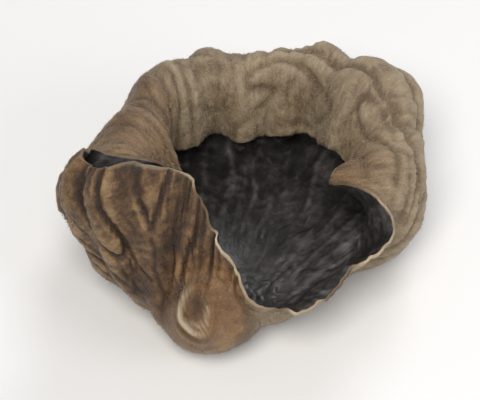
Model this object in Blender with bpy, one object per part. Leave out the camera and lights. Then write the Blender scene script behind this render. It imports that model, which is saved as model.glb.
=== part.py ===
"""A dried wood ear mushroom, lying on its rounded underside with its hollow facing up.

The ear is one leathery sheet that grew out from a small knob, which was cut off flat where it
met the wood.  While it dried, the sheet cupped: it runs flat across the bottom of the hollow,
turns up into a wall all round, and at the back its margin curls over the hollow as a thick band
with two rounded ends.  The wall on the left and in front is a lobe, parted from the band by a deep
crease.  It flares to the left and narrows to a rounded bulb, which has the knob's flat scar.  The
right side in front is low and open.

Every direction round the middle of the hollow has a spoke: a line that is walked outwards by its
slope.  Dents, folds and creases then push the sheet in and out, and half the thickness of the
flesh on either side gives its two skins.  The maths is in millimetres and the mesh in metres.
"""

import math

import bmesh
import bpy
import numpy as np
from mathutils import Euler, Vector, noise

MM = 0.001

# Driving dimensions, in millimetres and degrees.
SHEET_IN_MIDDLE = 2.2      # thickness of the flesh in the middle of the hollow
SHEET_HALF_WAY = 1.6       # thickness of the flesh half way out
SHEET_AT_MARGIN = 1.0      # thickness of the flesh at the margin
COLUMNS = 96               # faces round the middle
ROWS = 25                  # faces from the middle to the margin
STEPS = 240                # short straight steps that one spoke is walked in
WALL_BEND = 0.40           # share of a spoke along which the floor of the hollow turns up into wall

# One spoke for each direction the sheet grew in, anticlockwise from the right, seen from above:
# direction, length, slope in the middle, slope of the wall, where the wall starts (share of the
# length), how far the margin turns over (negative is outwards), where it starts, how sharply.
SPOKES = [
    (0,    54,   7,  86, 0.50,   80, 0.64, 0.30),
    (16,   66,   8,  98, 0.50,  124, 0.64, 0.30),
    (36,   76,   9, 105, 0.51,  140, 0.65, 0.30),
    (60,   82,   9, 108, 0.51,  148, 0.65, 0.28),
    (86,   86,   9, 110, 0.51,  152, 0.65, 0.26),
    (112,  85,   9, 111, 0.50,  152, 0.64, 0.28),
    (138,  79,   9, 112, 0.47,  150, 0.62, 0.28),
    (158,  74,   9, 111, 0.45,  146, 0.62, 0.28),
    (174,  73,   8, 107, 0.44,  142, 0.62, 0.29),
    (186,  68,   8, 100, 0.43,  128, 0.63, 0.29),
    (197,  57,   7,  84, 0.43,   70, 0.74, 0.26),
    (209,  62,   6,  76, 0.42,   56, 0.78, 0.24),
    (224,  62,   7,  82, 0.42,   34, 0.78, 0.24),
    (240,  57,   8,  93, 0.43,   10, 0.72, 0.28),
    (257,  50,   9, 100, 0.46,   -2, 0.70, 0.30),
    (273,  37,   9,  86, 0.50,  -12, 0.70, 0.30),
    (290,  30,   8,  58, 0.52,  -22, 0.72, 0.30),
    (312,  31,   8,  50, 0.52,  -24, 0.72, 0.30),
    (330,  34,   7,  52, 0.50,  -24, 0.74, 0.30),
    (345,  40,   7,  60, 0.50,   -8, 0.74, 0.30),
]
# Deep creases that run out to the margin: direction, half the width in degrees, depth at the margin.
PLEATS = [
    (195, 7.5, 7.0),
    (247, 5, 3.0),
    (233, 5, 3.0),
    (219, 5, 2.6),
    (150, 5, 1.6),
    (118, 5, 1.2),
    (66, 5, 1.4),
    (34, 5, 1.2),
    (354, 7, 5.0),
]
LONG_SPOKE = 70            # a spoke this long has the full dents and folds, a shorter one has less
DENT_DEEP = 5.0            # depth of the broad dents
DENT_WIDE = 26.0           # distance from one dent to the next
FOLD_DEEP = 1.7            # depth of the folds
FOLD_GRAIN = 5.0           # the more, the closer together the folds are
FOLD_STEEP = 1.7           # the more, the steeper the narrow valleys between them
FOLD_RAISED = 0.42         # how far the panels between the valleys are raised, so that they even out
FOLD_BLUNT = 0.063         # how rounded the bottom of a valley is
UNEVEN_LENGTH = 0.08       # by how much of its length a spoke may be longer or shorter
UNEVEN_MARGIN = 0.04       # the same again, for the small scallops of the margin
UNEVEN_WALL = 10           # by how many degrees the wall may lean in or out
UNEVEN_CURL = 30           # by how many degrees the margin may curl more or less
KNOB_AT = 262.5            # direction of the bulb, and of the knob that held the ear to the wood
BULB_FROM_MIDDLE = 22.5    # how far from the middle the bulb is, in millimetres along the sheet
BULB_DEEP = 6.0            # how far it bulges out
BULB_WIDE = 10.0           # its radius
KNOB_OUT = 0.60            # how far out the knob is, as a share of the sheet
KNOB_WIDE = 8.0            # radius of the knob's foot
KNOB_TOP = 4.0             # radius of its top
KNOB_NARROW = 0.8          # how wide the oval knob is from side to side, as a share of its height
KNOB_HIGH = 2.6            # how far the knob would stand out if it were whole
KNOB_CUT = 1.6             # height at which it was cut off flat
LEAN_BACK = -8.0           # turn about X that lays the ear on its lowest places
LEAN_SIDE = -1.5           # turn about Y that does the same
TO_MIDDLE = (0.55, -6.85)  # shift that brings the middle of its outline over the origin
TO_FLOOR = 0.75            # shift up after which only the lowest 0.3 mm are under the floor


def smooth(value):
    """0 below 0, 1 above 1, and an even S between them."""
    value = np.clip(value, 0.0, 1.0)
    return value * value * (3.0 - 2.0 * value)


def round_trip(directions, column):
    """One column of SPOKES, as a smooth curve through its values that closes on itself."""
    turn = np.radians([spoke[0] for spoke in SPOKES])
    value = np.array([spoke[column] for spoke in SPOKES], float)
    turn = np.concatenate([turn[-2:] - math.tau, turn, turn[:2] + math.tau])
    value = np.concatenate([value[-2:], value, value[:2]])
    slope = (value[2:] - value[:-2]) / (turn[2:] - turn[:-2])
    turn, value = turn[1:-1], value[1:-1]
    place = np.clip(np.searchsorted(turn, directions, side="right") - 1, 0, len(turn) - 2)
    gap = turn[place + 1] - turn[place]
    t = (directions - turn[place]) / gap
    return (
        value[place] * (1 + 2 * t) * (1 - t) ** 2
        + slope[place] * gap * t * (1 - t) ** 2
        + value[place + 1] * t * t * (3 - 2 * t)
        + slope[place + 1] * gap * t * t * (t - 1)
    )


def field(x, y, z, seed):
    """Smooth noise in -1..1 at each of the points given by x, y and z."""
    x, y, z = np.broadcast_arrays(x, y, z)
    places = zip(x.ravel() + seed, y.ravel() - seed, z.ravel() + seed / 2)
    return np.array([noise.noise(Vector(place)) for place in places]).reshape(x.shape)


def round_field(directions, grain, seed):
    """Smooth noise in -1..1 that closes on itself after one turn."""
    return field(grain * np.cos(directions), grain * np.sin(directions), 0.0, seed)


def lengths(directions):
    """How far the sheet runs in each direction."""
    uneven = UNEVEN_LENGTH * round_field(directions, 3.0, 11.3)
    scallops = UNEVEN_MARGIN * round_field(directions, 6.5, 4.7)
    return round_trip(directions, 1) * (1 + uneven + scallops)


def spoke_walk(directions, outward):
    """Where the plain sheet is: distance out from the middle, height, for each direction and share."""
    length = lengths(directions)
    start, wall, wall_at, curl, curl_at, curl_span = (
        round_trip(directions, column) for column in range(2, 8)
    )
    wall = wall + UNEVEN_WALL * round_field(directions, 2.6, 51.0)
    curl = curl + UNEVEN_CURL * round_field(directions, 4.0, 67.0)
    share = (np.arange(STEPS) + 0.5)[:, None] / STEPS
    slope = np.radians(
        start
        + (wall - start) * smooth((share - wall_at) / WALL_BEND + 0.5)
        + curl * smooth((share - curl_at) / curl_span)
    )
    out = np.vstack([np.zeros_like(length), np.cumsum(np.cos(slope), 0)]) * length / STEPS
    up = np.vstack([np.zeros_like(length), np.cumsum(np.sin(slope), 0)]) * length / STEPS
    at = outward * STEPS
    low = np.minimum(at.astype(int), STEPS - 1)
    part = at - low
    column = np.broadcast_to(np.arange(len(directions)), low.shape)
    return (
        out[low, column] * (1 - part) + out[low + 1, column] * part,
        up[low, column] * (1 - part) + up[low + 1, column] * part,
    )


def facing(points):
    """Unit normals of a closed grid of points (rows out, columns round), on the hollow's side."""
    along = np.gradient(points, axis=0)
    padded = np.concatenate([points[:, -1:], points, points[:, :1]], axis=1)
    around = (padded[:, 2:] - padded[:, :-2]) / 2
    normal = np.cross(along, around)
    size = np.linalg.norm(normal, axis=2, keepdims=True)
    return normal / np.maximum(size, 1e-9)


def from_knob(directions, outward):
    """Where each point of the sheet was before it dried and rolled up, measured from the knob."""
    knob = math.radians(KNOB_AT)
    reach = outward * lengths(directions)
    return (
        reach * np.cos(directions) - BULB_FROM_MIDDLE * math.cos(knob),
        reach * np.sin(directions) - BULB_FROM_MIDDLE * math.sin(knob),
    )


def pleats(directions):
    """How far the creases push the margin into the hollow, for each direction."""
    depth = np.zeros_like(directions)
    for pleat_at, half_wide, deep in PLEATS:
        off = (np.degrees(directions) - pleat_at + 180) % 360 - 180
        depth = depth + deep * np.exp(-((off / half_wide) ** 2))
    return depth


def sheet(columns, rows):
    """The middle of the flesh and its normals, as a grid: rows out from the middle, columns round it."""
    directions = np.arange(columns) * math.tau / columns
    outward = (np.arange(1, rows + 1) / rows)[:, None] * np.ones(columns)
    out, up = spoke_walk(directions, outward)
    points = np.stack([out * np.cos(directions), out * np.sin(directions), up], axis=2)
    flat_x, flat_y = from_knob(directions, outward)
    reach = np.hypot(flat_x, flat_y)
    # Where the rolled sheet is squeezed together there is less room for it to buckle.
    room = np.clip(1.4 * out / (outward * lengths(directions)), 0.2, 1.0) ** 1.5
    room = room * np.clip(lengths(directions) / LONG_SPOKE, 0, 1)
    dent = field(flat_x / DENT_WIDE, flat_y / DENT_WIDE, 0.0, 1.5)
    dent = dent * DENT_DEEP * smooth((outward - 0.1) / 0.6) * room
    points = points + facing(points) * dent[..., None]
    ray_x, ray_y = flat_x / np.maximum(reach, 1), flat_y / np.maximum(reach, 1)
    fold = field(FOLD_GRAIN * ray_x, FOLD_GRAIN * ray_y, reach / 40, 33.0)
    fold = FOLD_RAISED - FOLD_STEEP * np.sqrt(fold * fold + FOLD_BLUNT ** 2)
    fold = fold * FOLD_DEEP * smooth((reach - 8) / 36) * smooth((outward - 0.1) / 0.5) * room
    fold = fold + pleats(directions) * smooth((outward - 0.15) / 0.65) * room
    fold = fold - BULB_DEEP * np.exp(-((reach / BULB_WIDE) ** 2))
    points = points + facing(points) * fold[..., None]
    return points, facing(points)


def thickness(outward):
    """Thickness of the flesh for each share of the way out."""
    inner = SHEET_IN_MIDDLE + (SHEET_HALF_WAY - SHEET_IN_MIDDLE) * smooth(outward / 0.4)
    return inner + (SHEET_AT_MARGIN - SHEET_HALF_WAY) * smooth((outward - 0.5) / 0.5)


def add_knob(outer, normal):
    """The outer skin with the knob raised from it and cut off flat."""
    rows, columns = outer.shape[:2]
    row, column = round(KNOB_OUT * rows) - 1, round(KNOB_AT / 360 * columns)
    foot, axis = outer[row, column].copy(), -normal[row, column]
    side = np.cross(axis, (0, 0, 1))
    side = side / np.linalg.norm(side)
    off = outer - foot
    sideways = off @ side
    away = np.sqrt((off ** 2).sum(2) + sideways ** 2 * (1 / KNOB_NARROW ** 2 - 1))
    rise = KNOB_HIGH * smooth((KNOB_WIDE - away) / (KNOB_WIDE - KNOB_TOP))
    raised = outer + axis * rise[..., None]
    top = smooth((KNOB_WIDE - away) / (KNOB_WIDE - KNOB_TOP) * 2 - 0.5)
    above_cut = np.maximum((raised - foot) @ axis - KNOB_CUT, 0) * top
    return raised - axis * above_cut[..., None]


def laid_down(points):
    """The points of the ear lying down, its lowest places pressed flat on the floor."""
    lean = Euler((math.radians(LEAN_BACK), math.radians(LEAN_SIDE), 0)).to_matrix()
    points = points @ np.array(lean).T + np.array([*TO_MIDDLE, TO_FLOOR])
    points[..., 2] = np.maximum(points[..., 2], 0.0)
    return points


def ear_points(columns, rows):
    """Both skins of the ear: (hollow side, outer side), as grids of points."""
    middle, normal = sheet(columns, rows)
    outward = np.arange(1, rows + 1)[:, None, None] / rows
    half = thickness(outward) / 2
    hollow, outer = middle + normal * half, middle - normal * half
    return laid_down(hollow), laid_down(add_knob(outer, normal))


def ear_mesh(columns, rows):
    """The ear as one closed mesh: two skins, each closed in the middle by a fan, and a rim strip."""
    made = bmesh.new()
    skins = []
    for skin in ear_points(columns, rows):
        centre = made.verts.new(Vector(skin[0].mean(0)) * MM)
        rings = [[made.verts.new(Vector(point) * MM) for point in ring] for ring in skin]
        skins.append((centre, rings))
    for (centre, rings), turned in zip(skins, (False, True)):
        for here in range(columns):
            after = (here + 1) % columns
            faces = [[centre, rings[0][here], rings[0][after]]]
            for near, far in zip(rings, rings[1:]):
                faces.append([near[here], far[here], far[after], near[after]])
            for face in faces:
                made.faces.new(face[::-1] if turned else face)
    hollow_edge, outer_edge = skins[0][1][-1], skins[1][1][-1]
    for here in range(columns):
        after = (here + 1) % columns
        made.faces.new([hollow_edge[here], outer_edge[here], outer_edge[after], hollow_edge[after]])
    mesh = bpy.data.meshes.new("wood_ear")
    made.to_mesh(mesh)
    made.free()
    mesh.shade_smooth()
    return mesh


def dried_skin():
    """The tan outer skin of the ear."""
    material = bpy.data.materials.new("dried_skin")
    material.use_nodes = True
    shader = material.node_tree.nodes["Principled BSDF"]
    shader.inputs["Base Color"].default_value = (0.235, 0.175, 0.120, 1.0)
    shader.inputs["Roughness"].default_value = 0.62
    shader.inputs["Metallic"].default_value = 0.0
    return material


def main():
    for leftover in list(bpy.data.objects):
        bpy.data.objects.remove(leftover)
    ear = bpy.data.objects.new("wood_ear", ear_mesh(COLUMNS, ROWS))
    ear.data.materials.append(dried_skin())
    bpy.context.collection.objects.link(ear)


main()
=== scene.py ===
import math
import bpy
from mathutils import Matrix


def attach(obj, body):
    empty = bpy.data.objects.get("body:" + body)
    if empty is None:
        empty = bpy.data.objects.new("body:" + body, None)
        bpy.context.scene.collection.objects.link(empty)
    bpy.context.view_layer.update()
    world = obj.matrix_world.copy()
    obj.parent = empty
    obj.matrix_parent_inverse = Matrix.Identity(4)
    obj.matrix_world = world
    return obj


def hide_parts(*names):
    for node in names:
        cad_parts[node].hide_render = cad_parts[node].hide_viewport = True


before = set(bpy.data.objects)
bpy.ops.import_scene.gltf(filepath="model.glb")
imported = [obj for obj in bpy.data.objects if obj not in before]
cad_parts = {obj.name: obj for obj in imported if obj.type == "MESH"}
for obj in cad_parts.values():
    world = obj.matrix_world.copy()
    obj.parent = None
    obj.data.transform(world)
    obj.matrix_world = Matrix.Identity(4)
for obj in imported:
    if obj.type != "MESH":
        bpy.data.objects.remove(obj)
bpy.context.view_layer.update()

from types import SimpleNamespace

import bpy
import numpy as np
from mathutils import Euler, Vector, noise

# A dried wood ear mushroom, lying on its rounded underside with its hollow up.  The CAD solid gives
# its shape.  Here the same sheet is made four to five times finer, with the small wrinkles, growth
# rings, scar and crisp margin that a dried ear has, and felt grows on its tan outer side.
#
# Lengths are in millimetres until a mesh is made.  On the flat, fresh ear "outward" runs from 0 in
# the middle to 1 at the margin, "reach" is the distance from the bulb, "edge" that from the margin.
# A pair "...From" says where a form begins and over how far it comes in, "...To" where it ends.
# A seed picks the stretch of the noise that a form reads.

mm = 0.001
tiny = 1e-9

ear = {
    "columns": 384,
    "rows": 125,
    "steps": 240,  # steps of the walk out along a spoke
    "wallBend": 0.40,  # over how much of a spoke the floor bends up into the wall
    "parts": ("at", "length", "floor", "wall", "wallAt", "curl", "curlAt", "curlSpan"),
    "spokes": [  # one for each direction the sheet grew in, as in the CAD
        (0, 54, 7, 86, 0.50, 80, 0.64, 0.30),
        (16, 66, 8, 98, 0.50, 124, 0.64, 0.30),
        (36, 76, 9, 105, 0.51, 140, 0.65, 0.30),
        (60, 82, 9, 108, 0.51, 148, 0.65, 0.28),
        (86, 86, 9, 110, 0.51, 152, 0.65, 0.26),
        (112, 85, 9, 111, 0.50, 152, 0.64, 0.28),
        (138, 79, 9, 112, 0.47, 150, 0.62, 0.28),
        (158, 74, 9, 111, 0.45, 146, 0.62, 0.28),
        (174, 73, 8, 107, 0.44, 142, 0.62, 0.29),
        (186, 68, 8, 100, 0.43, 128, 0.63, 0.29),
        (197, 57, 7, 84, 0.43, 70, 0.74, 0.26),
        (209, 62, 6, 76, 0.42, 56, 0.78, 0.24),
        (224, 62, 7, 82, 0.42, 34, 0.78, 0.24),
        (240, 57, 8, 93, 0.43, 10, 0.72, 0.28),
        (257, 50, 9, 100, 0.46, -2, 0.70, 0.30),
        (273, 37, 9, 86, 0.50, -12, 0.70, 0.30),
        (290, 30, 8, 58, 0.52, -22, 0.72, 0.30),
        (312, 31, 8, 50, 0.52, -24, 0.72, 0.30),
        (330, 34, 7, 52, 0.50, -24, 0.74, 0.30),
        (345, 40, 7, 60, 0.50, -8, 0.74, 0.30),
    ],
    "pleats": [  # creases of the margin: direction, half width, depth
        (195, 7.5, 7.0),
        (247, 5, 3.0),
        (233, 5, 3.0),
        (219, 5, 2.6),
        (150, 5, 1.6),
        (118, 5, 1.2),
        (66, 5, 1.4),
        (34, 5, 1.2),
        (354, 7, 5.0),
    ],
    "pleatFrom": (0.15, 0.65),
    "longSpoke": 70,  # from this length on, folds have their full depth
    "lengthWaves": (3.0, 0.08, 11.3),  # unevenness round the ear: how close, how much, seed
    "marginWaves": (6.5, 0.04, 4.7),
    "wallWaves": (2.6, 10, 51.0),
    "curlWaves": (4.0, 30, 67.0),
    "room": (1.4, 0.2, 1.5),  # folds shrink where the sheet curls in: gain, least, power
    "dent": (26.0, 5.0, 1.5),  # broad dents: spacing, depth, seed
    "dentFrom": (0.1, 0.6),
    "fold": (5.0, 40, 33.0),  # folds that run out from the bulb: how close, how long, seed
    "foldDeep": 1.7,
    "foldShape": (0.42, 1.7, 0.063),  # panels raised by, steepness of the valleys, how blunt they are
    "foldFrom": (0.1, 0.5),
    "foldFromBulb": (8, 36),
    "bulbAt": (262.5, 22.5),  # direction and distance of the bulb, where the folds run out from
    "bulb": (6.0, 10.0),  # how far it bulges, and its radius
    "flesh": (2.2, 1.6, 1.0),  # thickness in the middle, half way out and at the margin
    "fleshFrom": ((0.0, 0.4), (0.5, 0.5)),
    "leastSteps": (0.01, 0.05),  # the least distance from point to point, round and outward
    "mostCrowded": 0.15,
    "lean": (-8.0, -1.5),
    "shift": (0.55, -6.85, 0.75),
}

relief = {  # fine forms, on top of what the CAD has
    "lobeAt": (232, 62),  # the middle and half width of the lobe, in degrees
    "lobeFrom": (0.30, 0.25),
    "middleFrom": (0.06, 0.16),  # the middle of the sheet stays plain
    "linesInCurl": 0.1,  # how much of the wrinkles is left where the sheet curls in
    "restInCurl": 0.4,  # and of the rest
    "wrinkle": {  # wrinkles that run out from the bulb
        "spacing": 6.5, "long": 110, "halfWide": 0.70, "deep": 0.30, "onLobe": 1.70, "seed": 5.0},
    "crease": {  # finer ones between them
        "spacing": 2.6, "long": 45, "halfWide": 0.50, "deep": 0.16, "onLobe": 0.28, "seed": 19.0},
    "linesFrom": (7, 10),
    "gaps": (16, 4.0, -0.60, 0.5),  # places without them: how wide, level of the noise, start, span
    "wander": (17, 0.4),  # how they stray: over what distance, and how far
    "usualSlope": 0.4,  # slope of a noise where it crosses 0, for a spacing of 1
    "faintBelow": 0.3,  # lines fade where the noise is flatter than this share of it
    "cutDeep": 0.32,  # how far the outer skin cracks in along the lines
    "cutHalf": 0.42,
    "cutSpacing": 5,  # lines closer than this are less deeply cracked
    "swell": {  # the skin between the wrinkles stands up
        "spacing": 7.5, "long": 80, "high": 0.7, "offLobe": 0.25, "seed": 61.0},
    "swellFrom": (8, 20),
    "gather": {  # short cross folds at the left end of the band, their pitch in degrees
        "at": (142, 30), "pitch": 6.2, "deep": 1.5, "sway": (9, 3, 0.9, 3.0),
        "breaks": (6, 2, 1.0, 29.0), "breaksFrom": (-0.75, 1)},
    "gatherFrom": (0.68, 0.24),
    "along": {  # folds along the right half of the band
        "at": (62, 66), "pitch": 7.0, "deep": 1.3, "halfWide": 1.0, "ridge": 1.6, "close": 1.9,
        "slant": (1.7, 1.3, 15.0), "cut": 0.6, "seed": 13.0},
    "alongFrom": (0.56, 0.15),
    "crinkle": ((4.2, 0.26, 41.0), (1.9, 0.15, 43.0)),  # uneven all over: spacing, height, seed
    "net": (3.4, 0.10, 0.42, 57.0),  # the net of a skin that shrank: spacing, depth, half width, seed
    "netFrom": (7, 5),
    "ruffle": (0.55, 5.0),  # waves of the margin: how high, how far in they reach
    "ruffleWaves": ((30, 1.0, 73.0), (12.0, 0.7, 79.0)),
    "steepest": ((0.8, 3), (1.3, 10)),  # above this slope they are evened out, this many times
    "steepSpan": 0.6,
    "ring": (2.4, 0.06),  # growth rings of the outer side: pitch, height
    "ringSway": (12, 1.4, 83.0),
    "ringFrom": (9, 6),
    "vein": (2.8, 0.13, 0.45, 91.0),  # low veins of the hollow: spacing, height, half width, seed
    "veinFrom": (0.04, 0.12),
    "pucker": (4.2, 0.40, 0.55, 95.0),  # folds inside the bulb, likewise
    "puckerLumps": 0.9,
    "puckerTo": (19, 9),
    "skinEdge": 3,  # the relief of each skin ends this far from the margin
    "thinner": (0.45, 1.6),  # the flesh thins out at the very margin: how much, how far in
    "finest": 1.4,  # the finest waves round the middle of the sheet
    "evened": (6, 3),  # how often the sheet is evened out for the forms, and the skins, to rise from
    "evenedMargin": (4, 16),  # how far in from the margin it is more even, and how often
    "evenedCore": (0.14, 8),  # how far out the middle rises one way, and the row that gives the way
}

knob = {  # the stump of the ear's foot
    "at": 262.5,  # direction, and how far out
    "out": 0.60,
    "wide": 8.0,  # radius of its foot and of its top
    "top": 4.0,
    "topEdge": (2, 0.5),  # how sharp the rim of the cut is, and how far in it starts
    "narrow": 0.8,  # width by height
    "high": 2.6,  # how high it would stand, and where it is cut
    "cut": 1.6,
    "marginFrom": (0, 5),
}

scar = {  # where it was cut from its wood: a ring has a radius and a half width
    "up": 1.5,  # how far above the middle of the cut
    "uneven": (1.3, 0.5, 23.0),
    "lip": (4.3, 0.52),  # the pale arc
    "lipSide": (0.38, 0.9, 0.5),  # where an arc runs: how long, how sharp its ends, turned by
    "whorl": (2.4, 0.42),
    "whorlAt": (0.5, -0.4),
    "whorlSide": (0.30, -1.0, -0.7),
    "whorlPale": 0.6,
    "slit": (1.1, 2.0),  # half width, and how many times longer than wide
    "slitAt": (0.2, 0.3),
    "crescent": (3.2, 0.55),
    "crescentSide": (0.0, 1.0, 0.5),
    "crescentDeep": 0.55,
    "groove": (5.5, 0.50),
    "grooveDeep": 0.75,
    "cracks": (2.4, 1.0, 47.0),
    "cracksFrom": (0, 2.5),
    "cracksTo": (4.2, 2),
    # how strongly the cracks are darkened with painted shade
    "cracksDark": 0.8,
    "heights": (0.55, 0.40, -0.70, -0.35),  # of the lip, the whorl, the pit and the cracks
}


def smooth(value):  # 0 below 0, 1 above 1, an even S between
    value = np.clip(value, 0.0, 1.0)
    return value * value * (3.0 - 2.0 * value)


def rise(value, start, span):  # 0 up to the start, 1 from a span further on
    return smooth((value - start) / span)


def fall(value, end, span):  # 1 until a span before the end, 0 beyond it
    return smooth((end - value) / span)


def hill(off, halfWide):  # 1 in the middle, fading out on both sides
    return np.exp(-((off / halfWide) ** 2))


def mixed(one, other, share):
    return one + (other - one) * share


def turned(degrees, middle):  # how far one direction is from another, in -180..180
    return (degrees - middle + 180) % 360 - 180


def near(degrees, middle, halfWide):  # 1 round one direction, 0 from the half width on
    return fall(np.abs(turned(degrees, middle)), halfWide, 0.5 * halfWide)


def field(x, y, z, seed):  # smooth noise in -1..1
    x, y, z = np.broadcast_arrays(x, y, z)
    places = zip(x.ravel() + seed, y.ravel() - seed, z.ravel() + seed / 2)
    return np.array([noise.noise(Vector(place)) for place in places]).reshape(x.shape)


def flatField(at, wide, seed, level=0.0):  # noise laid over the flat ear
    return field(at.flatX / wide, at.flatY / wide, level, seed)


def waves(directions, close, much, seed):  # noise that runs round the ear
    return much * field(close * np.cos(directions), close * np.sin(directions), 0.0, seed)


def roundTrip(directions, part):  # one number of the spokes as a curve that closes on itself
    column = ear["parts"].index(part)
    turn = np.radians([spoke[0] for spoke in ear["spokes"]])
    value = np.array([spoke[column] for spoke in ear["spokes"]], float)
    turn = np.concatenate([turn[-2:] - math.tau, turn, turn[:2] + math.tau])
    value = np.concatenate([value[-2:], value, value[:2]])
    slope = (value[2:] - value[:-2]) / (turn[2:] - turn[:-2])
    turn, value = turn[1:-1], value[1:-1]
    place = np.clip(np.searchsorted(turn, directions, side="right") - 1, 0, len(turn) - 2)
    gap = turn[place + 1] - turn[place]
    t = (directions - turn[place]) / gap
    return (
        value[place] * (1 + 2 * t) * (1 - t) ** 2
        + slope[place] * gap * t * (1 - t) ** 2
        + value[place + 1] * t * t * (3 - 2 * t)
        + slope[place + 1] * gap * t * t * (t - 1)
    )


def lengths(directions):  # how far the sheet runs in each direction
    uneven = waves(directions, *ear["lengthWaves"])
    return roundTrip(directions, "length") * (1 + uneven + waves(directions, *ear["marginWaves"]))


def spokeWalk(directions, outward):  # distance out from the middle and height of the plain sheet
    length = lengths(directions)
    floor, wall, wallAt, curl, curlAt, curlSpan = (
        roundTrip(directions, part) for part in ear["parts"][2:]
    )
    wall = wall + waves(directions, *ear["wallWaves"])
    curl = curl + waves(directions, *ear["curlWaves"])
    steps = ear["steps"]
    share = (np.arange(steps) + 0.5)[:, None] / steps
    bend = smooth((share - wallAt) / ear["wallBend"] + 0.5)
    slope = np.radians(mixed(floor, wall, bend) + curl * rise(share, curlAt, curlSpan))
    walked = [
        np.vstack([np.zeros_like(length), np.cumsum(step, 0)]) * length / steps
        for step in (np.cos(slope), np.sin(slope))
    ]
    place = outward * steps
    low = np.minimum(place.astype(int), steps - 1)
    part = place - low
    column = np.broadcast_to(np.arange(len(directions)), low.shape)
    return [line[low, column] * (1 - part) + line[low + 1, column] * part for line in walked]


def closedRing(grid):  # with its last column before it and its first behind it
    return np.concatenate([grid[:, -1:], grid, grid[:, :1]], axis=1)


def acrossRing(grid):  # from the point before to the point after, round the ear
    ring = closedRing(grid)
    return ring[:, 2:] - ring[:, :-2]


def unit(vectors):
    return vectors / np.maximum(np.linalg.norm(vectors, axis=2, keepdims=True), tiny)


def facing(points):  # unit normals of a closed grid, on the hollow's side
    return unit(np.cross(np.gradient(points, axis=0), acrossRing(points) / 2))


def pleats(directions):  # how far the creases push the margin into the hollow
    depth = np.zeros_like(directions)
    for middle, halfWide, deep in ear["pleats"]:
        depth = depth + deep * hill(turned(np.degrees(directions), middle), halfWide)
    return depth


def layout(columns, rows):  # where each point of the grid is on the flat, fresh ear
    directions = np.arange(columns) * math.tau / columns
    outward = (np.arange(1, rows + 1) / rows)[:, None] * np.ones(columns)
    length = lengths(directions)
    out, up = spokeWalk(directions, outward)
    turn, far = math.radians(ear["bulbAt"][0]), ear["bulbAt"][1]
    flatX = outward * length * np.cos(directions) - far * math.cos(turn)
    flatY = outward * length * np.sin(directions) - far * math.sin(turn)
    reach = np.hypot(flatX, flatY)
    gain, least, power = ear["room"]
    room = np.clip(gain * out / (outward * length), least, 1.0) ** power
    return SimpleNamespace(
        directions=directions, degrees=np.degrees(directions) * np.ones((rows, 1)), outward=outward,
        out=out, up=up, flatX=flatX, flatY=flatY, reach=reach, edge=(1 - outward) * length,
        rayX=flatX / np.maximum(reach, 1), rayY=flatY / np.maximum(reach, 1),
        room=room * np.clip(length / ear["longSpoke"], 0, 1))


def plainSheet(at):  # the sheet as the CAD has it, and how far the folds push it in
    out, up, outward = at.out, at.up, at.outward
    points = np.stack([out * np.cos(at.directions), out * np.sin(at.directions), up], axis=2)
    wide, deep, seed = ear["dent"]
    dent = flatField(at, wide, seed) * deep * rise(outward, *ear["dentFrom"]) * at.room
    points = points + facing(points) * dent[..., None]
    close, long, seed = ear["fold"]
    raised, steep, blunt = ear["foldShape"]
    fold = field(close * at.rayX, close * at.rayY, at.reach / long, seed)
    fold = raised - steep * np.sqrt(fold * fold + blunt ** 2)
    fold = fold * ear["foldDeep"] * rise(at.reach, *ear["foldFromBulb"])
    fold = fold * rise(outward, *ear["foldFrom"]) * at.room
    fold = fold + pleats(at.directions) * rise(outward, *ear["pleatFrom"]) * at.room
    bulge, radius = ear["bulb"]
    fold = fold - bulge * hill(at.reach, radius)
    return points + facing(points) * fold[..., None], fold


def measured(at, points):  # how far apart the points are on the dried ear
    leastRound, leastOut = ear["leastSteps"]
    at.stepRound = np.maximum(np.linalg.norm(acrossRing(points), axis=2) / 2, leastRound)
    at.stepOut = np.maximum(np.linalg.norm(np.gradient(points, axis=0), axis=2), leastOut)
    fresh = at.outward * lengths(at.directions) * math.tau / points.shape[1]
    at.crowd = np.clip(at.stepRound / fresh, ear["mostCrowded"], 1.0)


def steepness(value, at):  # how much a value changes from one millimetre to the next
    return np.hypot(np.gradient(value, axis=0) / at.stepOut, acrossRing(value) / 2 / at.stepRound)


def lines(value, at, spacing, halfWide):  # 1 along the lines where a noise is 0, wide by halfWide
    steep = steepness(value, at)
    plain = relief["usualSlope"] / spacing
    off = np.abs(value) / np.maximum(steep, plain)
    return hill(off, halfWide) * smooth(steep / plain - relief["faintBelow"])


def forked(at, spacing, long, seed):  # noise drawn out away from the bulb, which forks as it spreads
    wide, far = relief["wander"]
    wander = far * flatField(at, wide, seed + 2)
    level = np.log2(np.maximum(at.reach * at.crowd / spacing, 1.0))
    value = np.zeros_like(level)
    for step in range(int(level.max()) + 2):
        share = smooth(1 - np.abs(level - step))
        close = 2.0 ** step
        rayX, rayY = close * at.rayX + wander, close * at.rayY - wander
        value = value + share * field(rayX, rayY, at.reach / long, seed + 7 * step)
    return value


def gathers(at):  # the short cross folds at the left end of the band
    form, degrees, outward = relief["gather"], at.degrees, at.outward
    wide, tall, much, seed = form["sway"]
    phase = degrees / form["pitch"] + much * field(degrees / wide, outward * tall, 0.0, seed)
    there = near(degrees, *form["at"]) * rise(outward, *relief["gatherFrom"])
    wide, tall, level, seed = form["breaks"]
    there = there * rise(field(degrees / wide, outward * tall, level, seed), *form["breaksFrom"])
    return form["deep"] * there * (1 - 2 * np.abs(np.sin(phase * math.pi))) * at.room


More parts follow.
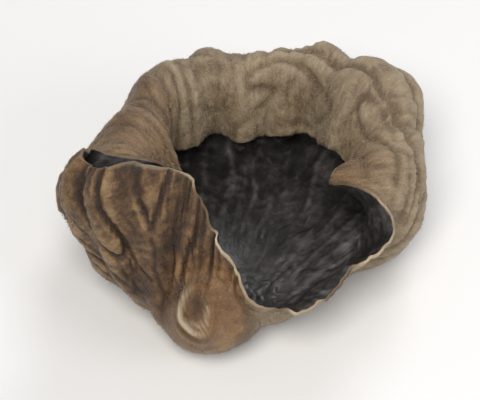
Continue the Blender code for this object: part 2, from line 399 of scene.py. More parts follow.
def lengthFolds(at):  # the folds along the right half of the band, and their cracks
    form, turn = relief["along"], at.directions
    slant = at.edge / form["pitch"] + waves(turn, *form["slant"])
    value = field(form["close"] * np.cos(turn), form["close"] * np.sin(turn), slant, form["seed"])
    there = near(at.degrees, *form["at"]) * rise(at.outward, *relief["alongFrom"]) * at.room
    shape = lines(value, at, form["pitch"], form["halfWide"]) - form["ridge"] * np.abs(value)
    cracks = lines(value, at, form["pitch"], relief["cutHalf"]) * there * form["cut"]
    return form["deep"] * there * shape, cracks


def fineForms(at):  # how far all the fine forms push the sheet in
    outward, reach, room = at.outward, at.reach, at.room
    lobe = near(at.degrees, *relief["lobeAt"]) * rise(outward, *relief["lobeFrom"])
    even = rise(outward, *relief["middleFrom"])
    fromBulb = rise(reach, *relief["linesFrom"]) * even
    inCurl = mixed(relief["restInCurl"], 1, room)
    wide, level, start, span = relief["gaps"]
    push, at.cut = np.zeros_like(outward), np.zeros_like(outward)
    for form in (relief["wrinkle"], relief["crease"]):
        spacing, seed = form["spacing"], form["seed"]
        there = rise(flatField(at, wide, seed + 4, level), start, span) * fromBulb
        there = there * mixed(relief["linesInCurl"], 1, room)
        value = forked(at, spacing, form["long"], seed)
        deep = mixed(form["deep"], form["onLobe"], lobe)
        push = push + lines(value, at, spacing, form["halfWide"]) * there * deep
        cracks = lines(value, at, spacing, relief["cutHalf"]) * there
        at.cut = np.maximum(at.cut, cracks * min(1, spacing / relief["cutSpacing"]))
    form = relief["swell"]
    swell = form["high"] * forked(at, form["spacing"], form["long"], form["seed"])
    push = push + swell * rise(reach, *relief["swellFrom"]) * room * mixed(form["offLobe"], 1, lobe)
    push = push + gathers(at)
    folds, cracks = lengthFolds(at)
    push, at.cut = push + folds, np.maximum(at.cut, cracks)
    for wide, high, seed in relief["crinkle"]:
        push = push + high * flatField(at, wide, seed, at.up / wide) * even * inCurl
    wide, deep, halfWide, seed = relief["net"]
    net = lines(flatField(at, wide, seed, at.up / wide), at, wide, halfWide)
    push = push + deep * net * even * rise(reach, *relief["netFrom"])
    high, inTo = relief["ruffle"]
    ruffle = sum(waves(at.directions, *wave) for wave in relief["ruffleWaves"])
    return push + high * ruffle * hill(at.edge, inTo) * inCurl


def softened(grid, times):  # a grid evened out with the points round it
    for _ in range(times):
        ring = closedRing(grid)
        grid = (ring[:, 2:] + 2 * grid + ring[:, :-2]) / 4
        tall = np.concatenate([grid[:1], grid, grid[-1:]])
        grid = (tall[2:] + 2 * grid + tall[:-2]) / 4
    return grid


def eased(push, at):  # the fine forms, evened out where they are too steep for thin flesh
    steep = steepness(push, at)
    for limit, times in relief["steepest"]:
        share = softened(rise(steep, limit, relief["steepSpan"]), 2)
        push = push + (softened(push, times) - push) * share
    return push


def thickness(at):
    middle, halfWay, margin = ear["flesh"]
    first, second = ear["fleshFrom"]
    inner = mixed(middle, halfWay, rise(at.outward, *first))
    plain = inner + (margin - halfWay) * rise(at.outward, *second)
    share, inTo = relief["thinner"]
    return plain * (1 - share * smooth(1 - at.edge / inTo))


def evenedFacing(middle, at):  # the way out to each skin, even enough for neither to fold over
    normal = facing(softened(middle, relief["evened"][1]))
    inTo, times = relief["evenedMargin"]
    normal = normal + (facing(softened(middle, times)) - normal) * hill(at.edge, inTo)[..., None]
    far, row = relief["evenedCore"]
    core = smooth(1 - at.outward / far)[..., None]
    return unit(normal + (normal[row].mean(0) - normal) * core)


def outerRelief(at, inside):  # how far cracks and growth rings push the outer skin in
    pitch, high = relief["ring"]
    wide, much, seed = relief["ringSway"]
    phase = at.reach / pitch + much * flatField(at, wide, seed)
    rings = high * np.sin(phase * math.tau) * rise(at.reach, *relief["ringFrom"])
    return relief["cutDeep"] * at.cut * inside - rings * inside


def hollowRelief(at, inside):  # how far veins, and folds inside the bulb, raise the hollow's skin
    wide, high, halfWide, seed = relief["vein"]
    vein = high * lines(flatField(at, wide, seed), at, wide, halfWide)
    vein = vein * inside * rise(at.outward, *relief["veinFrom"])
    wide, deep, halfWide, seed = relief["pucker"]
    inBulb = fall(at.reach, *relief["puckerTo"]) * inside
    lump = flatField(at, wide, seed)
    pucker = relief["puckerLumps"] * lump - deep * lines(lump, at, wide, halfWide)
    return vein + pucker * inBulb


def side(turn, base, sharp, off):  # 1 on one side of the scar, 0 on the other
    return smooth(base + sharp * np.cos(turn + off))


def scarForms(across, up):  # how high the scar stands, where it is pale, and where its pits and cracks are dark with painted shade
    up = up - scar["up"]
    ring, turn = np.hypot(across / knob["narrow"], up), np.arctan2(up, across)
    uneven = waves(turn, *scar["uneven"])

    def arc(distance, name):
        radius, halfWide = scar[name]
        return hill(distance - radius - uneven, halfWide)

    lipSide = side(turn, *scar["lipSide"])
    lip = arc(ring, "lip") * lipSide
    besideX, besideY = scar["whorlAt"]
    whorl = arc(np.hypot(across - besideX, up - besideY), "whorl") * side(turn, *scar["whorlSide"])
    (besideX, besideY), (halfWide, long) = scar["slitAt"], scar["slit"]
    pit = hill(np.hypot(across - besideX, (up - besideY) / long), halfWide)
    crescent = scar["crescentDeep"] * arc(ring, "crescent") * side(turn, *scar["crescentSide"])
    groove = scar["grooveDeep"] * arc(ring, "groove") * lipSide
    pit = np.maximum(np.maximum(pit, crescent), groove)
    cracks = np.abs(waves(turn, *scar["cracks"]))
    cracks = cracks * fall(ring, *scar["cracksTo"]) * rise(ring, *scar["cracksFrom"])
    height = sum(high * form for high, form in zip(scar["heights"], (lip, whorl, pit, cracks)))
    return height, np.maximum(lip, scar["whorlPale"] * whorl), pit + scar["cracksDark"] * cracks


def addKnob(outer, normal, at):  # the outer skin with the knob raised and cut, and its scar
    rows, columns = outer.shape[:2]
    row, column = round(knob["out"] * rows) - 1, round(knob["at"] / 360 * columns)
    foot, axis = outer[row, column].copy(), -normal[row, column]
    sideways = np.cross(axis, [0.0, 0.0, 1.0])
    sideways = sideways / np.linalg.norm(sideways)
    off = outer - foot
    across, up = off @ sideways, off @ np.cross(sideways, axis)
    at.away = np.sqrt((off ** 2).sum(2) + across ** 2 * (1 / knob["narrow"] ** 2 - 1))
    slope = (knob["wide"] - at.away) / (knob["wide"] - knob["top"])
    offMargin = rise(at.edge, *knob["marginFrom"])
    raised = outer + axis * (knob["high"] * (smooth(slope) * offMargin))[..., None]
    sharp, start = knob["topEdge"]
    top = smooth(slope * sharp - start) * offMargin
    aboveCut = np.maximum((raised - foot) @ axis - knob["cut"], 0) * top
    here = at.away < knob["wide"]
    height, pale, dark = scarForms(across, up)
    # the scar's pits and cracks get painted shade
    at.scar, at.pit = pale * here, dark * here
    return raised - axis * aboveCut[..., None] + axis * (height * here)[..., None]


paintedShading = {  # painted shade and painted light: how fine and broad forms darken the valleys and lighten the ridges
    "fine": (10, 0.20),  # evened out how often, and the depth that has the full effect
    "broad": (240, 1.5),
    "cracks": 0.5,
}


def valleys(push, fold, at):  # painted shade: 1 in the valleys of the outer side, -1 on its ridges for painted light
    times, full = paintedShading["fine"]
    fine = (push - softened(push, times)) / full + paintedShading["cracks"] * at.cut
    times, full = paintedShading["broad"]
    return np.clip(fine + (fold - softened(fold, times)) / full, -1, 1)


def laidDown(points):
    lean = Euler([math.radians(turn) for turn in ear["lean"]] + [0]).to_matrix()
    points = points @ np.array(lean).T + np.array(ear["shift"])
    points[..., 2] = np.maximum(points[..., 2], 0.0)
    return points


def calmed(skin, at):  # a skin without waves round its middle that are finer than its grain
    spectrum = np.fft.rfft(skin, axis=1)
    most = math.tau * at.outward[:, :1] * ear["longSpoke"] / relief["finest"]
    share = smooth(2 - np.arange(spectrum.shape[1]) / most)
    return np.fft.irfft(spectrum * share[..., None], n=skin.shape[1], axis=1)


def buildSkins():  # both skins as grids of points, and what the finish needs to know
    at = layout(ear["columns"], ear["rows"])
    middle, fold = plainSheet(at)
    measured(at, middle)
    push = eased(fineForms(at), at)
    middle = middle + facing(softened(middle, relief["evened"][0])) * push[..., None]
    normal = evenedFacing(middle, at)
    half = thickness(at)[..., None] / 2
    inside = rise(at.edge, 0, relief["skinEdge"])
    hollow = middle + normal * half + normal * hollowRelief(at, inside)[..., None]
    outer = middle - normal * half + normal * outerRelief(at, inside)[..., None]
    outer = addKnob(outer, normal, at)
    # where the finishes paint shade into the valleys and light onto the ridges
    at.valley = valleys(push, fold, at)
    return at, laidDown(calmed(hollow, at)), laidDown(calmed(outer, at))


def shown(name, data):  # a new object in the scene
    made = bpy.data.objects.new(name, data)
    bpy.context.collection.objects.link(made)
    return made


# One closed mesh: two skins, a fan in the middle of each, and a strip round the margin.
def closedSheet(name, hollow, outer):
    rows, columns = hollow.shape[:2]
    count = rows * columns
    points = np.vstack([
        hollow.reshape(-1, 3), outer.reshape(-1, 3), [hollow[0].mean(0)], [outer[0].mean(0)]
    ]) * mm
    faces, finish = [], []
    here = np.arange(columns)
    after = (here + 1) % columns
    for start, centre, way in ((0, 2 * count, 1), (count, 2 * count + 1, -1)):
        fan = np.stack([np.full(columns, centre), start + here, start + after], axis=1)
        faces += fan[:, ::way].tolist()
        for row in range(rows - 1):
            a, b = start + row * columns, start + (row + 1) * columns
            band = np.stack([a + here, b + here, b + after, a + after], axis=1)
            faces += band[:, ::way].tolist()
        finish += [0 if way > 0 else 1] * (columns * rows)
    inner, far = (rows - 1) * columns, count + (rows - 1) * columns
    strip = np.stack([inner + here, far + here, far + after, inner + after], axis=1)
    faces += strip.tolist()
    finish += [2] * columns
    mesh = bpy.data.meshes.new(name)
    mesh.from_pydata(points.tolist(), [], faces)
    mesh.polygons.foreach_set("material_index", finish)
    mesh.shade_smooth()
    mesh.update()
    return mesh


def writeValues(mesh, name, values):  # a number or a vector for each point
    kind = "FLOAT_VECTOR" if values.shape[1] == 3 else "FLOAT"
    attribute = mesh.attributes.new(name, kind, "POINT")
    attribute.data.foreach_set("vector" if kind == "FLOAT_VECTOR" else "value", values.ravel())


def flattened(grid):
    return np.asarray(grid, float).reshape(grid.shape[0] * grid.shape[1], -1)


def writeSkins(mesh, name, hollow, outer):  # one grid for each skin, and the two middles after them
    flat = [flattened(grid) for grid in (hollow, outer)]
    centres = [part[: ear["columns"]].mean(0, keepdims=True) for part in flat]
    writeValues(mesh, name, np.vstack(flat + centres))


class Number:  # a number socket that adds, multiplies and so on
    def __init__(self, finish, socket):
        self.finish, self.socket = finish, socket

    def __add__(self, other):
        return self.finish.sum("ADD", self, other)

    def __sub__(self, other):
        return self.finish.sum("SUBTRACT", self, other)

    def __rsub__(self, other):
        return self.finish.sum("SUBTRACT", other, self)

    def __mul__(self, other):
        return self.finish.sum("MULTIPLY", self, other)

    __radd__ = __add__
    __rmul__ = __mul__


class Tree:  # a node tree, and one way to add any node to it
    def __init__(self, tree):
        self.tree = tree

    def node(self, kind, settings=None, inputs=None):
        made = self.tree.nodes.new(kind)
        for name, value in (settings or {}).items():
            if name == "stops":
                stops = made.color_ramp.elements
                for place, (where, colour) in enumerate(value):
                    stop = stops[place] if place < len(stops) else stops.new(where)
                    stop.position, stop.color = where, (*colour, 1)
            else:
                setattr(made, name, value)
        for name, value in (inputs or {}).items():
            if isinstance(value, Number):
                value = value.socket
            if isinstance(value, bpy.types.NodeSocket):
                self.tree.links.new(value, made.inputs[name])
            else:
                made.inputs[name].default_value = value
        return made

    def vector(self, operation, inputs):
        return self.node("ShaderNodeVectorMath", {"operation": operation}, inputs).outputs[0]


class Finish(Tree):  # one material
    def __init__(self, name):
        self.material = bpy.data.materials.new(name)
        self.material.use_nodes = True
        super().__init__(self.material.node_tree)
        self.tree.nodes.clear()

    def sum(self, operation, one, other):
        made = self.node("ShaderNodeMath", {"operation": operation}, {0: one, 1: other})
        return Number(self, made.outputs[0])

    def attribute(self, name, output="Fac"):
        made = self.node("ShaderNodeAttribute", {"attribute_name": name}).outputs[output]
        return Number(self, made) if output == "Fac" else made

    def place(self):  # Object coordinates, in metres
        return self.node("ShaderNodeTexCoord").outputs["Object"]

    def ramp(self, value, places, colours):
        stops = list(zip(places, colours))
        return self.node("ShaderNodeValToRGB", {"stops": stops}, {0: value}).outputs[0]

    def speckle(self, where, scale, detail, rough, warp=0.0):
        made = self.node("ShaderNodeTexNoise", None, {
            "Vector": where, "Scale": scale, "Detail": detail, "Roughness": rough, "Distortion": warp})
        return Number(self, made.outputs["Fac"])

    def streaks(self, where, factors, detail, rough, warp=0.0):  # speckle with its own scale each way
        return self.speckle(self.vector("MULTIPLY", {0: where, 1: factors}), 1.0, detail, rough, warp)

    def between(self, value, low, high):
        made = self.node("ShaderNodeMapRange", {"interpolation_type": "SMOOTHSTEP"}, {
            "Value": value, "From Min": low, "From Max": high})
        return Number(self, made.outputs[0])

    def ragged(self, value, grain, much, low, high):  # the same, with an edge that a noise breaks up
        return self.between(value + (grain - 0.5) * much, low, high)

    def varied(self, base, grains, shares):  # a number that noises move up and down
        for grain, share in zip(grains, shares):
            base = base + (grain - 0.5) * share
        return base

    def blend(self, share, one, other):
        one, other = ((*part, 1) if isinstance(part, tuple) else part for part in (one, other))
        return self.node("ShaderNodeMix", {"data_type": "RGBA"}, {0: share, 6: one, 7: other}).outputs[2]

    def bump(self, height, strength, distance, under=None):
        inputs = {"Height": height, "Strength": strength, "Distance": distance}
        if under is not None:
            inputs["Normal"] = under
        return self.node("ShaderNodeBump", None, inputs).outputs[0]

    def done(self, colour, rough, normal, fixed):
        shader = self.node("ShaderNodeBsdfPrincipled", None, {
            "Base Color": colour, "Roughness": rough, "Normal": normal, **fixed})
        self.node("ShaderNodeOutputMaterial", None, {"Surface": shader.outputs[0]})
        return self.material


tints = {
    "tan": (0.290, 0.205, 0.118),
    "greyTan": (0.300, 0.240, 0.170),
    "paleTan": (0.470, 0.370, 0.245),
    # painted shade for the scar's pits and cracks
    "paintedPitShade": (0.050, 0.028, 0.015),
    "cream": (0.540, 0.440, 0.300),
    # brown of the margin where it is not pale, partly painted shade
    "marginBrownAndShade": (0.120, 0.074, 0.038),
    # hair on the lobe, darker partly as painted shade
    "lobeHair": (0.115, 0.066, 0.032),
    "tanPlaces": (0.06, 0.36, 0.50, 0.66, 0.95),  # from the darkest crease, in painted shade, to the palest ridge, in painted light
    "band": (
        (0.066, 0.040, 0.021), (0.168, 0.115, 0.063), (0.252, 0.182, 0.107), (0.328, 0.250, 0.156),
        (0.500, 0.405, 0.280)),
    # the lobe's brown, darker than the band partly as painted shade
    "lobe": (
        (0.020, 0.009, 0.003), (0.040, 0.019, 0.007), (0.071, 0.035, 0.012), (0.126, 0.067, 0.025),
        (0.295, 0.184, 0.085)),
    "amber": (
        (0.038, 0.014, 0.004), (0.071, 0.028, 0.007), (0.119, 0.048, 0.009), (0.177, 0.079, 0.019),
        (0.320, 0.186, 0.070)),
    "hollowPlaces": (0.10, 0.45, 0.60, 0.78, 0.98),
    "hollow": (
        (0.011, 0.011, 0.011), (0.025, 0.023, 0.022), (0.046, 0.041, 0.037), (0.086, 0.082, 0.080),
        (0.165, 0.160, 0.160)),
}

# In each look below, a noise has its scale (or its scale each way), detail, roughness and distortion,
# a bump its strength and its distance in metres, and an edge how ragged it is and its two ends.

tanLook = {
    "broad": (75, 3, 0.55),
    "middling": (300, 4, 0.62),
    "fibres": ((26, 26, 1.4), 4, 0.6),  # drawn out away from the bulb
    "rings": ((1.6, 1.6, 6.0), 3, 0.55),  # round it
    "felt": (2600, 2, 0.6),
    "fine": ((800, 800, 800), 5, 0.62, 0.8),
    "tone": 0.505,
    "toneShares": (0.45, 0.40, 0.32, 0.30, 0.40),  # by how much each of the first five moves it
    "valley": (0.13, 0.15),  # painted shade: how much darker valleys are, and how much more on the lobe
    "lobeEdge": (0.6, 0.20, 0.85),
    "amberEdge": (0.5, 0.20, 0.95),
    "amber": 0.9,
    # painted shade in the scar's pits and cracks
    "pit": 0.78,
    "scar": 0.9,
    "rimEdge": (2.0, 0.65, 0.0),
    "rim": 0.75,
    "rough": 0.55,
    "roughShares": (0.25, 0.2),
    "smoother": 0.10,  # on the lobe, and where it is amber
    "fineBump": (0.75, 0.0006),
    "fibreBump": (0.40, 0.0006),
    "feltBump": (0.45, 0.0002),
    "fixed": {"Sheen Weight": 0.04, "Sheen Roughness": 0.5, "Specular IOR Level": 0.48},
}


def tanFelt():  # the dry outer side
    it, look = Finish("tanFelt"), tanLook
    where, rays = it.place(), it.attribute("rays", "Vector")
    flat = it.attribute("flatPlace", "Vector")
    names = ("lobe", "amber", "valley", "edge", "scar", "pit", "pale")
    lobe, amber, valley, edge, scarred, pit, pale = (it.attribute(name) for name in names)
    broad = it.speckle(where, *look["broad"])
    middling = it.speckle(where, *look["middling"])
    fibres = it.streaks(rays, *look["fibres"])
    rings = it.streaks(rays, *look["rings"])
    fuzz = it.speckle(where, *look["felt"])
    tone = it.varied(look["tone"], (broad, middling, fibres, rings, fuzz), look["toneShares"])
    onLobe = it.ragged(lobe, middling, *look["lobeEdge"])
    dark, darker = look["valley"]
    # painted shade in the valleys, painted light on the ridges
    tone = tone - valley * (dark + onLobe * darker)
    onAmber = it.ragged(amber, middling, *look["amberEdge"])
    band, brown, reddish = (
        it.ramp(tone, tints["tanPlaces"], tints[zone]) for zone in ("band", "lobe", "amber")
    )
    # the lobe's darker brown is partly painted shade
    colour = it.blend(onAmber * look["amber"], it.blend(onLobe, band, brown), reddish)
    # painted shade in the scar's pits and cracks
    colour = it.blend(pit * look["pit"], colour, tints["paintedPitShade"])
    colour = it.blend(scarred * look["scar"], colour, tints["cream"])
    rim = it.ragged(edge, middling, *look["rimEdge"])
    # no cream rim where the margin is brown, partly painted shade
    colour = it.blend(rim * pale * look["rim"], colour, tints["cream"])
    rough = it.varied(look["rough"], (middling, fuzz), look["roughShares"])
    rough = rough - onLobe * look["smoother"] - onAmber * look["smoother"]
    normal = it.bump(it.streaks(flat, *look["fine"]), *look["fineBump"])
    normal = it.bump(fibres, *look["fibreBump"], normal)
    normal = it.bump(fuzz, *look["feltBump"], normal)
    return it.done(colour, rough, normal, look["fixed"])


hollowLook = {
    "broad": (85, 3, 0.55),
    "middling": (420, 4, 0.6, 0.6),
    "fine": (1500, 3, 0.6),
    "fibres": ((18, 18, 1.2), 3, 0.55),
    "tone": 0.5,
    "toneShares": (0.9, 0.8, 0.7),
    # painted shade in the valleys of the hollow, painted light on its ridges
    "valley": 0.16,
    "rimEdge": (0.9, 0.40, 0.02),
    "rim": 0.6,
    "rough": 0.40,
    "roughShares": (0.3, 0.25),
    "middlingBump": (0.35, 0.0005),
    "fineBump": (0.25, 0.00015),
    "fixed": {"Specular IOR Level": 0.5},
}


def blackHollow():  # the smooth spore-bearing side, dried nearly black
    it, look = Finish("blackHollow"), hollowLook
    where, rays = it.place(), it.attribute("rays", "Vector")
    edge, valley = it.attribute("edge"), it.attribute("valley")
    broad = it.speckle(where, *look["broad"])
    middling = it.speckle(where, *look["middling"])
    fine = it.speckle(where, *look["fine"])
    fibres = it.streaks(rays, *look["fibres"])
    tone = it.varied(look["tone"], (broad, middling, fibres), look["toneShares"])
    # painted shade in the valleys, painted light on the ridges
    tone = tone - valley * look["valley"]
    colour = it.ramp(tone, tints["hollowPlaces"], tints["hollow"])
    rim = it.ragged(edge, middling, *look["rimEdge"])
    colour = it.blend(rim * look["rim"], colour, tints["tan"])
    rough = it.varied(look["rough"], (broad, middling), look["roughShares"])
    normal = it.bump(middling, *look["middlingBump"])
    normal = it.bump(fine, *look["fineBump"], normal)
    return it.done(colour, rough, normal, look["fixed"])


marginLook = {
    "broad": (160, 3, 0.6),
    "fine": (1400, 3, 0.6),
    "tanPatches": (0.36, 0.60),
    "tan": 0.7,
    "greyPatches": (0.48, 0.66),
    "grey": 0.5,
    "rough": 0.62,
    "roughShares": (0.3,),
    "fineBump": (0.4, 0.0002),
    "fixed": {"Specular IOR Level": 0.4},
}


def creamMargin():  # the thin pale flesh that shows at the margin
    it, look = Finish("creamMargin"), marginLook
    where, pale = it.place(), it.attribute("pale")
    broad, fine = it.speckle(where, *look["broad"]), it.speckle(where, *look["fine"])
    patches = it.between(broad, *look["tanPatches"])
    colour = it.blend(patches * look["tan"], tints["cream"], tints["tan"])
    patches = it.between(fine, *look["greyPatches"])
    colour = it.blend(patches * look["grey"], colour, tints["greyTan"])
    # brown where the margin is not pale, partly painted shade
    colour = it.blend(pale, tints["marginBrownAndShade"], colour)
    rough = it.varied(look["rough"], (fine,), look["roughShares"])
    return it.done(colour, rough, it.bump(fine, *look["fineBump"]), look["fixed"])


hairLook = {
    "middling": (420, 3, 0.6),
    "palePatches": (0.35, 0.65),
    "lobe": 0.9,
    "rough": 0.6,
    "roughShares": (0.2,),
    "bump": (0.1, 0.0001),
    "fixed": {"Specular IOR Level": 0.35},
}


def feltHair():
    it, look = Finish("feltHair"), hairLook
    lobe, middling = it.attribute("lobe"), it.speckle(it.place(), *look["middling"])
    patches = it.between(middling, *look["palePatches"])
    colour = it.blend(patches, tints["greyTan"], tints["paleTan"])
    # darker hair on the lobe, partly painted shade
    colour = it.blend(lobe * look["lobe"], colour, tints["lobeHair"])
    rough = it.varied(look["rough"], (middling,), look["roughShares"])
    return it.done(colour, rough, it.bump(middling, *look["bump"]), look["fixed"])


zones = {  # where the outer side has which colour: strength, direction and half width
    # the lobe is browner, and darker partly as painted shade
    "lobeAt": (236, 66),
    "lobeFrom": (0.30, 0.25),
    "lobeScarFrom": (3, 9),
    "amberBulb": (0.95, 19, 15),
    "amberEnds": [
        (0.75, (6, 40), (0.60, 0.40)),
        (0.5, (205, 30), (0.85, 0.12)),
        # the band's left end: browner, and darker partly as painted shade
        (0.62, (164, 44), (0.40, 0.25)),
    ],
    "paleMargin": (5.0, 1.8, 97.0),  # changes of the margin from pale to brown
    "palest": 0.68,
    # painted shade: the margin turns brown round 205 degrees, along the band's left end and the top of the
    # lobe under it
    "paintedShadeOnMargin": (0.85, (205, 46)),
}


def lobeZone(at):
    there = near(at.degrees, *zones["lobeAt"]) * rise(at.outward, *zones["lobeFrom"])
    return there * rise(at.away, *zones["lobeScarFrom"])


def amberZone(at):
    strength, end, span = zones["amberBulb"]
    shade = strength * fall(at.away, end, span)
    for strength, where, outFrom in zones["amberEnds"]:
        here = strength * near(at.degrees, *where) * rise(at.outward, *outFrom)
        shade = np.maximum(shade, here)
    return shade


def marginZone(at):  # how pale the margin is in each direction: brown where it varies, and painted shade along the band's left end and the lobe's top under it
    pale = smooth(zones["palest"] + waves(at.directions, *zones["paleMargin"]))
    strength, where = zones["paintedShadeOnMargin"]
    pale = pale * (1 - strength * near(at.degrees[0], *where))
    return pale[None, :] * np.ones_like(at.outward)


at, hollowSkin, outerSkin = buildSkins()
earMesh = closedSheet("ear", hollowSkin, outerSkin)
none = np.zeros_like(at.outward)
lobeShade, marginPale = lobeZone(at), marginZone(at)
raysPlace = np.stack([at.rayX, at.rayY, at.reach / 10], axis=2)
flatPlace = np.stack([at.flatX, at.flatY, none], axis=2) * mm
for name, onHollow, onOuter in (
    ("rays", raysPlace, raysPlace),
    ("flatPlace", flatPlace, flatPlace),
    ("edge", at.edge, at.edge),
    # painted shade of the valleys, turned over for the hollow's side
    ("valley", -at.valley, at.valley),
    ("lobe", none, lobeShade),
    ("amber", none, amberZone(at)),
    ("scar", none, at.scar),
    ("pit", none, at.pit),
    # how pale the margin is; where it is brown, that is partly painted shade
    ("pale", marginPale, marginPale),
):
    writeSkins(earMesh, name, onHollow, onOuter)
for finish in (blackHollow(), tanFelt(), creamMargin()):
    earMesh.materials.append(finish)
earPiece = shown("ear", earMesh)
print("ear:", len(earMesh.polygons), "faces")

felt = {
    "perSquareMillimetre": 5.2,
    "length": 0.55,
    "lengths": (0.55, 1.25),  # the shortest and longest, as shares of it
    "thick": 0.034,
    "sunk": 0.05,  # how deep the foot of a hair is in the skin
    "lies": 0.9,  # how far the hairs lie down, away from the middle of the sheet
    "untidy": 0.7,
    "seed": 7,
    "everyPoint": 3,  # it grows on a grid of every third point of the skin
    "floorFrom": (1.2, 1.0),
    "marginFrom": (0.8, 1.5),
    "scarFrom": (4, 2),
}


def outerPatch():  # every few points of the outer skin, for the hairs to grow on
    step = felt["everyPoint"]
    grid = outerSkin[step - 1 :: step, ::step]
    hairy = rise(outerSkin[..., 2], *felt["floorFrom"]) * rise(at.edge, *felt["marginFrom"])
    hairy = hairy * rise(at.away, *felt["scarFrom"])
    count = grid.shape[1]
    faces = []
    for row in range(grid.shape[0] - 1):
        for here in range(count):
            after = (here + 1) % count
            a, b = row * count, (row + 1) * count
            faces.append([a + after, b + after, b + here, a + here])
    mesh = bpy.data.meshes.new("patch")
    mesh.from_pydata((grid.reshape(-1, 3) * mm).tolist(), [], faces)
    writeValues(mesh, "hairy", flattened(hairy[step - 1 :: step, ::step]))
    writeValues(mesh, "lobe", flattened(lobeShade[step - 1 :: step, ::step]))
    writeValues(mesh, "grow", flattened(unit(np.gradient(grid, axis=0))))
    return mesh


def feltTree(sizes, material):
    it = Tree(bpy.data.node_groups.new("felt", "GeometryNodeTree"))
    face = it.tree.interface
    face.new_socket("Geometry", in_out="INPUT", socket_type="NodeSocketGeometry")
    for name, size in sizes.items():
        kind = "NodeSocketInt" if isinstance(size, int) else "NodeSocketFloat"
        face.new_socket(name, in_out="INPUT", socket_type=kind)
    face.new_socket("Geometry", in_out="OUTPUT", socket_type="NodeSocketGeometry")
    given = it.node("NodeGroupInput").outputs
    thickest = it.node("GeometryNodeInputNamedAttribute", None, {"Name": "hairy"})
    density = it.node("ShaderNodeMath", {"operation": "MULTIPLY"}, {
        0: given["Density"], 1: thickest.outputs["Attribute"]})
    points = it.node("GeometryNodeDistributePointsOnFaces", None, {
        "Mesh": given["Geometry"], "Density": density.outputs[0], "Seed": given["Seed"]})
    grow = it.node("GeometryNodeInputNamedAttribute", {"data_type": "FLOAT_VECTOR"}, {"Name": "grow"})
    lying = it.vector("SCALE", {0: grow.outputs["Attribute"], "Scale": given["Lies"]})
    stray = it.node("FunctionNodeRandomValue", {"data_type": "FLOAT_VECTOR"}, {
        "Min": (-1, -1, -1), "Max": (1, 1, 1), "Seed": given["Seed"]})
    strayed = it.vector("SCALE", {0: stray.outputs["Value"], "Scale": given["Untidy"]})
    lean = it.vector("ADD", {0: points.outputs["Normal"], 1: lying})
    lean = it.vector("ADD", {0: lean, 1: strayed})
    aimed = it.node("FunctionNodeAlignRotationToVector", {"axis": "Z"}, {"Vector": lean})
    hair = it.node("GeometryNodeMeshCone", {"fill_type": "NGON"}, {
        "Vertices": 3, "Side Segments": 1, "Radius Top": 0.0,
        "Radius Bottom": given["Thick"], "Depth": given["Length"]})
    down = it.node("ShaderNodeCombineXYZ", None, {"Z": given["Sunk"]})
    sunk = it.node("GeometryNodeTransform", None, {
        "Geometry": hair.outputs["Mesh"], "Translation": down.outputs[0]})
    size = it.node("FunctionNodeRandomValue", None, {
        2: given["Shortest"], 3: given["Longest"], "Seed": given["Seed"]})
    placed = it.node("GeometryNodeInstanceOnPoints", None, {
        "Points": points.outputs["Points"], "Instance": sunk.outputs[0],
        "Rotation": aimed.outputs[0], "Scale": size.outputs[1]})
    real = it.node("GeometryNodeRealizeInstances", None, {"Geometry": placed.outputs[0]})
    dressed = it.node("GeometryNodeSetMaterial", None, {"Geometry": real.outputs[0], "Material": material})
    it.node("NodeGroupOutput", None, {"Geometry": dressed.outputs[0]})
    return it.tree


def grownFelt():
    sizes = {
        "Density": felt["perSquareMillimetre"] / mm ** 2,
        "Length": felt["length"] * mm,
        "Thick": felt["thick"] * mm,
        "Lies": felt["lies"],
        "Untidy": felt["untidy"],
        "Sunk": -felt["sunk"] * mm,
        "Shortest": felt["lengths"][0],
        "Longest": felt["lengths"][1],
        "Seed": felt["seed"],
    }
    host = shown("feltHost", outerPatch())
    modifier = host.modifiers.new("felt", "NODES")
    modifier.node_group = feltTree(sizes, feltHair())
    for item in modifier.node_group.interface.items_tree:
        if item.name in sizes:
            modifier[item.identifier] = sizes[item.name]
    evaluated = host.evaluated_get(bpy.context.evaluated_depsgraph_get())
    mesh = bpy.data.meshes.new_from_object(evaluated)
    host.modifiers.remove(modifier)
    bpy.data.objects.remove(host)
    mesh.name = "felt"
    return shown("felt", mesh)


feltPiece = grownFelt()
print("felt:", len(feltPiece.data.polygons), "faces")

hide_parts("wood_ear")
for piece in (earPiece, feltPiece):
    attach(piece, "root")

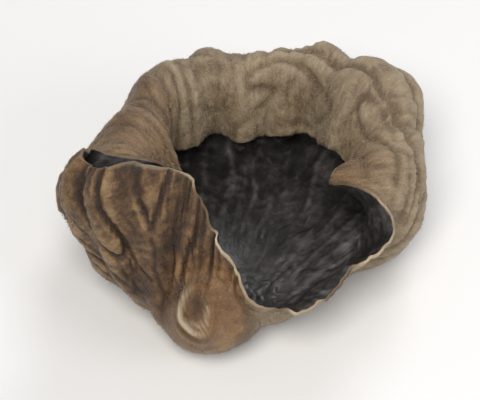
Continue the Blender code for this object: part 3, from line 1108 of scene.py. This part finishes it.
studio = {
    "floor": (0.86, 0.85, 0.83),
    "floorHalf": 3.0,
    "floorClouds": (6, 2, 0.5),
    "cloudShade": 0.985,
    "floorRough": (0.8, 0.05),
    "floorBump": (0.02, 0.001),
    "sky": (0.86, 0.90, 1.0),
    "skyStrength": 0.28,
    "lamps": [  # place, width, power, colour
        ((-0.02, -0.36, 0.58), 0.36, 3.5, (1.0, 0.97, 0.93)),
        ((0.55, -0.15, 0.35), 0.35, 1.0, (0.93, 0.96, 1.0)),
        ((0.10, 0.50, 0.42), 0.30, 1.5, (0.96, 0.98, 1.0)),
    ],
    "lookAt": (-0.001, -0.002, 0.016),
    "turn": 11,  # how far the camera stands to the right of the front
    "elevation": 48,
    "distance": 0.385,
    "lens": 150,
}


def softFloor():
    it = Finish("paleFloor")
    cloud = it.speckle(it.place(), *studio["floorClouds"])
    shaded = tuple(studio["cloudShade"] * part for part in studio["floor"])
    colour = it.blend(cloud, studio["floor"], shaded)
    rough, share = studio["floorRough"]
    rough = it.varied(rough, (cloud,), (share,))
    mesh = bpy.data.meshes.new("floor")
    half = studio["floorHalf"]
    corners = [(-half, -half, 0), (half, -half, 0), (half, half, 0), (-half, half, 0)]
    mesh.from_pydata(corners, [], [(0, 1, 2, 3)])
    mesh.materials.append(it.done(colour, rough, it.bump(cloud, *studio["floorBump"]), {}))
    shown("floor", mesh)


def lamps():
    for number, (place, width, power, colour) in enumerate(studio["lamps"], 1):
        light = bpy.data.lights.new(f"softLamp{number}", "AREA")
        light.shape, light.size, light.energy, light.color = "DISK", width, power, colour
        lamp = shown(light.name, light)
        lamp.location = place
        aim = Vector(studio["lookAt"]) - Vector(place)
        lamp.rotation_euler = aim.to_track_quat("-Z", "Y").to_euler()
    world = bpy.context.scene.world or bpy.data.worlds.new("world")
    bpy.context.scene.world = world
    world.use_nodes = True
    sky = world.node_tree.nodes["Background"]
    sky.inputs["Color"].default_value = (*studio["sky"], 1)
    sky.inputs["Strength"].default_value = studio["skyStrength"]


def camera():
    lens = bpy.data.cameras.new("camera")
    lens.lens = studio["lens"]
    taker = shown("camera", lens)
    up, turn = math.radians(studio["elevation"]), math.radians(studio["turn"])
    away = Vector((math.sin(turn) * math.cos(up), -math.cos(turn) * math.cos(up), math.sin(up)))
    away = away * studio["distance"]
    taker.location = Vector(studio["lookAt"]) + away
    taker.rotation_euler = (-away).to_track_quat("-Z", "Y").to_euler()
    bpy.context.scene.camera = taker


softFloor()
lamps()
camera()
bpy.context.scene.view_settings.view_transform = "Standard"
print("studio ready")
